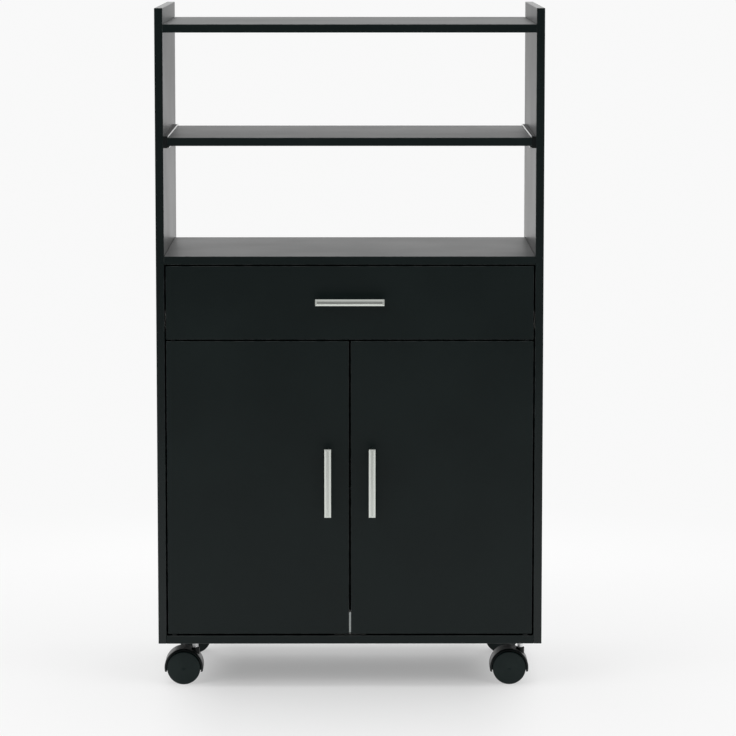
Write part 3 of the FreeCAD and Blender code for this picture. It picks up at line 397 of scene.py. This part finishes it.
# ---- floor, background and lamps ------------------------------------------------------------
BACKGROUND = (0.945, 0.945, 0.945, 1.0)
FLOOR_GREY = (0.86, 0.86, 0.86, 1.0)
FLOOR_RADIUS = 60.0
FLOOR_SEGMENTS = 96
# Share of the floor that glows with the plain background colour, painted light that lightens the
# shadow under and beside the stand; the rest is shaded and keeps the shadow.
UNDER_STAND, BESIDE_STAND, FAR_OFF = 0.33, 0.70, 1.0
# What gloss shows of the floor and the surround, as shares of what the camera sees.
FLOOR_BY_CAMERA, FLOOR_FAR_BEHIND = 0.18, 0.70
WALL_BY_CAMERA, WALL_AT_HORIZON, WALL_OVERHEAD = 0.25, 0.72, 0.45
CEILING = 0.7
# Light that the surround gives, at the camera's side and behind the stand.
LIGHT_BY_CAMERA, LIGHT_BEHIND = 0.16, 0.62
# Where each of these gives way to the next: metres on the floor, parts of a direction above it.
STAND_TO_BESIDE = (0.17, 0.33)
STAND_TO_FAR = (0.40, 1.7)
CAMERA_TO_STAND = (-4.2, -0.9)
BEHIND_TO_FAR = (6.0, 30.0)
HORIZON_TO_WALL = (-0.02, 0.09)
WALL_TO_TOP = (0.2, 0.9)
WALL_TO_CEILING = (0.3, 0.9)
CAMERA_TO_BACK_WALL = (-0.9, 0.1)
CAMERA_TO_BACK_LIGHT = (-0.6, 0.3)
# Name, place, target, width and height, and watts of each lamp.
LAMPS = (
    ("lamp_left", (-2.4, -2.6, 2.6), (0.0, 0.0, 0.5), (2.4, 2.4), 48.0),
    ("lamp_right", (2.4, -2.6, 2.6), (0.0, 0.0, 0.5), (2.4, 2.4), 42.0),
    ("lamp_top", (0.0, -0.2, 4.2), (0.0, 0.0, 0.0), (4.0, 3.0), 80.0),
    ("lamp_back", (0.0, 2.8, 1.8), (0.0, 0.0, 0.0), (3.0, 1.2), 44.0),
)


def ray_masks(kit):
    """1 for rays of the camera, gloss and glass, which see the background; 1 for gloss alone."""
    path = kit.add("ShaderNodeLightPath").outputs
    mirrored = kit.math("MAXIMUM", path["Is Glossy Ray"], path["Is Transmission Ray"])
    return kit.math("MAXIMUM", path["Is Camera Ray"], mirrored), path["Is Glossy Ray"]


def dimmed_in_gloss(kit, glossy, level):
    """The level for glossy rays and 1 for all others."""
    return kit.plus(kit.times(glossy, kit.math("SUBTRACT", level, 1.0)), 1.0)


def make_floor():
    """Pale floor that keeps the object's shadow, lightened under and beside the stand by a painted
    glow, and melts into the background further off.
    """
    mesh = bpy.data.meshes.new("floor")
    work = bmesh.new()
    bmesh.ops.create_circle(work, cap_ends=True, segments=FLOOR_SEGMENTS, radius=FLOOR_RADIUS)
    work.to_mesh(mesh)
    work.free()
    floor = bpy.data.objects.new("floor", mesh)
    scene.collection.objects.link(floor)
    material, kit, where, _ = new_material("floor")
    across, along, _ = kit.split(where)
    flat = kit.add("ShaderNodeCombineXYZ", {0: across, 1: along}).outputs[0]
    distance = kit.add("ShaderNodeVectorMath", {0: flat}, operation="LENGTH").outputs["Value"]
    shown, glossy = ray_masks(kit)
    # Painted light: the floor glows with the background colour by these shares, which lightens the
    # shadow under and beside the stand.
    beside = kit.span(kit.math("ABSOLUTE", across), *STAND_TO_BESIDE, UNDER_STAND, BESIDE_STAND)
    far = kit.math("MAXIMUM", beside, kit.span(distance, *STAND_TO_FAR, UNDER_STAND, FAR_OFF))
    near_end = kit.span(along, *CAMERA_TO_STAND, FLOOR_BY_CAMERA, 1.0)
    far_end = kit.span(along, *BEHIND_TO_FAR, 1.0, FLOOR_FAR_BEHIND)
    level = dimmed_in_gloss(kit, glossy, kit.times(near_end, far_end))
    plain = kit.add("ShaderNodeBsdfDiffuse", {"Color": FLOOR_GREY})
    glow = kit.add("ShaderNodeEmission", {"Color": BACKGROUND, "Strength": level})
    share = kit.times(shown, far)
    mixed = kit.add("ShaderNodeMixShader", {0: share, 1: plain.outputs[0], 2: glow.outputs[0]})
    kit.add("ShaderNodeOutputMaterial", {"Surface": mixed.outputs[0]})
    mesh.materials.append(material)


def make_world():
    """White studio surround, dimmer towards the side where the camera stands."""
    world = bpy.data.worlds.new("studio")
    scene.world = world
    world.use_nodes = True
    kit = Nodes(world.node_tree)
    _, along, up = kit.split(kit.add("ShaderNodeTexCoord").outputs["Generated"])
    shown, glossy = ray_masks(kit)
    above_horizon = kit.span(up, *HORIZON_TO_WALL, WALL_AT_HORIZON, 1.0)
    towards_top = kit.span(up, *WALL_TO_TOP, 1.0, WALL_OVERHEAD)
    away = kit.span(along, *CAMERA_TO_BACK_WALL, WALL_BY_CAMERA, 1.0)
    wall = kit.times(away, kit.times(above_horizon, towards_top))
    room = kit.math("MAXIMUM", wall, kit.span(up, *WALL_TO_CEILING, 0.0, CEILING))
    seen = kit.times(shown, dimmed_in_gloss(kit, glossy, room))
    light = kit.span(along, *CAMERA_TO_BACK_LIGHT, LIGHT_BY_CAMERA, LIGHT_BEHIND)
    lighting = kit.times(kit.math("SUBTRACT", 1.0, shown), light)
    strength = kit.plus(seen, lighting)
    sky = kit.add("ShaderNodeBackground", {"Color": BACKGROUND, "Strength": strength})
    kit.add("ShaderNodeOutputWorld", {"Surface": sky.outputs[0]})


def make_lamps():
    """Soft lamps that light the object and that its gloss doesn't show."""
    for name, place, target, size, power in LAMPS:
        data = bpy.data.lights.new(name, "AREA")
        data.shape = "RECTANGLE"
        data.size, data.size_y = size
        data.energy = power
        lamp = bpy.data.objects.new(name, data)
        lamp.location = place
        aim = Vector(target) - Vector(place)
        lamp.rotation_euler = aim.to_track_quat("-Z", "Y").to_euler()
        lamp.visible_glossy = False
        scene.collection.objects.link(lamp)


# ---- screw heads and blocks -----------------------------------------------------------------
SMOOTH_BELOW = math.radians(35)        # edges of round heads that turn by less are shaded round
BLOCK_SMOOTH_BELOW = math.radians(15)  # a block's bevels stay crisp, so its faces look flat
HEAD_STEPS = 40
HEAD_RINGS = (0.12, 0.26, 0.40, 0.55, 0.62, 0.74, 0.86, 0.95, 1.0)  # shares of the radius
DOME_FALL = 0.75           # share of the height by which a head falls towards its rim
DOME_POWER = 2.6
RECESS_HALF_WIDTH = 0.13   # shares of the radius
RECESS_REACH = 0.55
RECESS_FLOOR = 0.12        # share of the height


def mesh_object(name, work, material, body, smooth_below=SMOOTH_BELOW):
    """Object from a finished bmesh, dressed and riding on its body."""
    mesh = bpy.data.meshes.new(name)
    bmesh.ops.recalc_face_normals(work, faces=work.faces)
    work.to_mesh(mesh)
    work.free()
    mesh.materials.append(MATERIALS[material])
    for face in mesh.polygons:
        face.use_smooth = True
    mesh.set_sharp_from_angle(angle=smooth_below)
    piece = bpy.data.objects.new(name, mesh)
    scene.collection.objects.link(piece)
    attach(piece, body)


def add_head(work, place, outward, head):
    """Domed head with a cross recess, its flat underside at place, facing outward.

    A head is its radius, its height and the depth of its recess.
    """
    radius, height, recess_depth = head
    turn = Vector(outward).to_track_quat("Z", "Y").to_matrix().to_4x4()
    placing = Matrix.Translation(place) @ turn

    def top(x, y):
        away = math.hypot(x, y)
        dome = height * (1.0 - DOME_FALL * min(1.0, away / radius) ** DOME_POWER)
        crossed = min(abs(x), abs(y)) < radius * RECESS_HALF_WIDTH
        if crossed and away < radius * RECESS_REACH:
            return max(dome - recess_depth, height * RECESS_FLOOR)
        return dome

    def add_ring(share, level):
        ring = []
        for step in range(HEAD_STEPS):
            angle = 2 * math.pi * (step + 0.5) / HEAD_STEPS
            x = radius * share * math.cos(angle)
            y = radius * share * math.sin(angle)
            ring.append(work.verts.new(placing @ Vector((x, y, level(x, y)))))
        return ring

    def around(ring):
        return zip(ring, ring[1:] + ring[:1])

    centre = work.verts.new(placing @ Vector((0, 0, top(0, 0))))
    ring = add_ring(HEAD_RINGS[0], top)
    for here, after in around(ring):
        work.faces.new((centre, here, after))
    levels = [(share, top) for share in HEAD_RINGS[1:]] + [(1.0, lambda x, y: 0.0)]
    for share, level in levels:
        outer = add_ring(share, level)
        for (inner_here, inner_after), (here, after) in zip(around(ring), around(outer)):
            work.faces.new((inner_here, here, after, inner_after))
        ring = outer
    work.faces.new(list(reversed(ring)))


def heads(name, body, places, outward, head, material="zinc_steel"):
    """One piece with a head at each place."""
    work = bmesh.new()
    for place in places:
        add_head(work, Vector(place), outward, head)
    mesh_object(name, work, material, body)


def add_block(work, low, high, bevel):
    """Box between two corners with rounded edges."""
    made = bmesh.ops.create_cube(work, size=1.0)["verts"]
    for vert in made:
        vert.co = Vector((low[i] if vert.co[i] < 0 else high[i] for i in range(3)))
    edges = list({edge for vert in made for edge in vert.link_edges})
    bmesh.ops.bevel(work, geom=edges, offset=bevel, segments=2, profile=0.5, affect="EDGES")


def catch_blocks(name, corners, bevel, material):
    """One piece of blocks on the catch, each between a low and a high corner."""
    work = bmesh.new()
    for low, high in corners:
        add_block(work, low, high, bevel)
    mesh_object(name, work, material, "carcass", BLOCK_SMOOTH_BELOW)


def catch_corners(side, reach, depth, height):
    """Corners of a block at one side of the catch's middle; depth counts from its face."""
    near, far = sorted((side * reach[0], side * reach[1]))
    return (near, CATCH_FACE + depth[0], height[0]), (far, CATCH_FACE + depth[1], height[1])


# ---- small fasteners and fittings, in metres ------------------------------------------------
# Radius, height and depth of the recess of each kind of head.
RUNNER_HEAD = (0.0031, 0.0014, 0.0008)
SLIDE_HEAD = (0.0030, 0.0011, 0.0006)
PIVOT_HEAD = (0.0032, 0.0012, 0.0007)
CATCH_HEAD = (0.0036, 0.0018, 0.0010)
STRIKE_HEAD = (0.0030, 0.00010, 0.00008)
DRAWER_BACK_HEAD = (0.0034, 0.0007, 0.0005)
DRAWER_CAM_HEAD = (0.0058, 0.0008, 0.0006)
NAIL_HEAD = (0.0022, 0.0006, 0.0)

RUNNER_SCREW_SETBACKS = (0.052, 0.160, 0.270)   # from the front
RUNNER_SCREW_RISE = 0.0170                      # above the drawer box's bottom
SLIDE_SCREW_SETBACKS = (0.030, 0.150, 0.262)    # from the front's back face
SLIDE_SCREW_OUT = 0.0065                        # from the box side's inner face
PIVOT_SCREW_DEPTHS = (-0.1540, -0.1395)         # from the middle of the stand

# Reaches count from the catch's middle, depths and the setback from its face, heights from the
# floor.
CATCH_SCREW_HALF_SPACING = 0.015
CATCH_SCREW_SETBACK = 0.019
CATCH_FOOT_THICKNESS = 0.003
CATCH_BEVEL = 0.0003
POLE_REACH = (0.0048, 0.0212)
POLE_DEPTH = (0.0002, 0.0014)
POLE_LEVELS = (0.0945, 0.1100)
POLE_HALF_HEIGHT = 0.0012
MAGNET_REACH = (0.0052, 0.0208)
MAGNET_DEPTH = (0.0007, 0.0014)
MAGNET_HEIGHT = (0.0960, 0.1085)
STRIP_REACH = (-0.0020, 0.0020)
STRIP_DEPTH = (-0.0005, 0.0)
STRIP_HEIGHT = (0.0853, 0.1178)
STRIP_BEVEL = 0.0002

STRIKE_SCREW_X = 0.0135
STRIKE_THICKNESS = 0.00096
STRIKE_LEVEL = 0.1040

DRAWER_BACK_SCREW_INSET = 0.006
DRAWER_BACK_SCREW_LEVELS = (0.603, 0.637)
DRAWER_CAM_SETBACK = 0.024
DRAWER_CAM_LEVELS = (0.593, 0.632)

NAIL_COUNT = 6
NAIL_START = -0.255
NAIL_SPACING = 0.102


def make_runner_screws():
    """Screws of the runners: into the panels, and up into the drawer's sides."""
    web = INNER_HALF - SHEET_STEEL
    for label, side in SIDES:
        level = DRAWER_BOX_BOTTOM + RUNNER_SCREW_RISE
        places = [(side * web, FRONT + y, level) for y in RUNNER_SCREW_SETBACKS]
        heads("runner_screws_" + label, "carcass", places, (-side, 0, 0), RUNNER_HEAD)
        x = side * (DRAWER_INNER_HALF + SLIDE_SCREW_OUT)
        level = DRAWER_BOX_BOTTOM - SHEET_STEEL
        places = [(x, FRONT_BACK_FACE + y, level) for y in SLIDE_SCREW_SETBACKS]
        heads("slide_screws_" + label, "drawer", places, (0, 0, -1), SLIDE_HEAD)


def make_pivot_screws():
    places = [
        (side * PIVOT_X, y, PIVOT_PLATE_UNDERSIDE) for _, side in SIDES for y in PIVOT_SCREW_DEPTHS
    ]
    heads("pivot_plate_screws", "carcass", places, (0, 0, -1), PIVOT_HEAD, "blackened_steel")


def make_catch_fittings():
    """The catch's foot screws, its steel poles with their magnets, and its bright front strip."""
    y, z = CATCH_FACE + CATCH_SCREW_SETBACK, FLOOR_BOARD_TOP + CATCH_FOOT_THICKNESS
    places = [(side * CATCH_SCREW_HALF_SPACING, y, z) for _, side in SIDES]
    heads("catch_screws", "carcass", places, (0, 0, 1), CATCH_HEAD)
    poles = [
        catch_corners(side, POLE_REACH, POLE_DEPTH, (z - POLE_HALF_HEIGHT, z + POLE_HALF_HEIGHT))
        for _, side in SIDES for z in POLE_LEVELS
    ]
    catch_blocks("catch_poles", poles, CATCH_BEVEL, "zinc_steel")
    magnets = [
        catch_corners(side, MAGNET_REACH, MAGNET_DEPTH, MAGNET_HEIGHT) for _, side in SIDES
    ]
    catch_blocks("catch_magnets", magnets, CATCH_BEVEL, "black_plastic")
    strip = [catch_corners(1, STRIP_REACH, STRIP_DEPTH, STRIP_HEIGHT)]
    catch_blocks("catch_front_strip", strip, STRIP_BEVEL, "zinc_polished")


def make_strike_screws():
    for label, side in SIDES:
        place = (side * STRIKE_SCREW_X, FRONT_BACK_FACE + STRIKE_THICKNESS, STRIKE_LEVEL)
        heads("strike_screw_" + label, label + "_door", [place], (0, 1, 0), STRIKE_HEAD)


def make_drawer_joints():
    """Screws through the drawer's sides into its back, and the cams near its front."""
    for label, side in SIDES:
        x, y = side * DRAWER_OUTER_HALF, DRAWER_BOX_BACK - DRAWER_BACK_SCREW_INSET
        places = [(x, y, z) for z in DRAWER_BACK_SCREW_LEVELS]
        heads("drawer_back_screws_" + label, "drawer", places, (side, 0, 0), DRAWER_BACK_HEAD)
        x, y = side * DRAWER_INNER_HALF, FRONT_BACK_FACE + DRAWER_CAM_SETBACK
        places = [(x, y, z) for z in DRAWER_CAM_LEVELS]
        heads("drawer_cams_" + label, "drawer", places, (-side, 0, 0), DRAWER_CAM_HEAD)


def make_back_nails():
    """Nails through the back sheet into the rear edges of the counter and the bottom board."""
    levels = (COUNTER_UNDERSIDE + BOARD / 2, FLOOR_BOARD_TOP - BOARD / 2)
    columns = [NAIL_START + NAIL_SPACING * step for step in range(NAIL_COUNT)]
    places = [(x, CABINET_BACK, z) for z in levels for x in columns]
    heads("back_nails", "carcass", places, (0, 1, 0), NAIL_HEAD)


make_camera()
dress_nodes()
make_floor()
make_world()
make_lamps()
make_runner_screws()
make_pivot_screws()
make_catch_fittings()
make_strike_screws()
make_drawer_joints()
make_back_nails()

scene.view_settings.view_transform = "Standard"
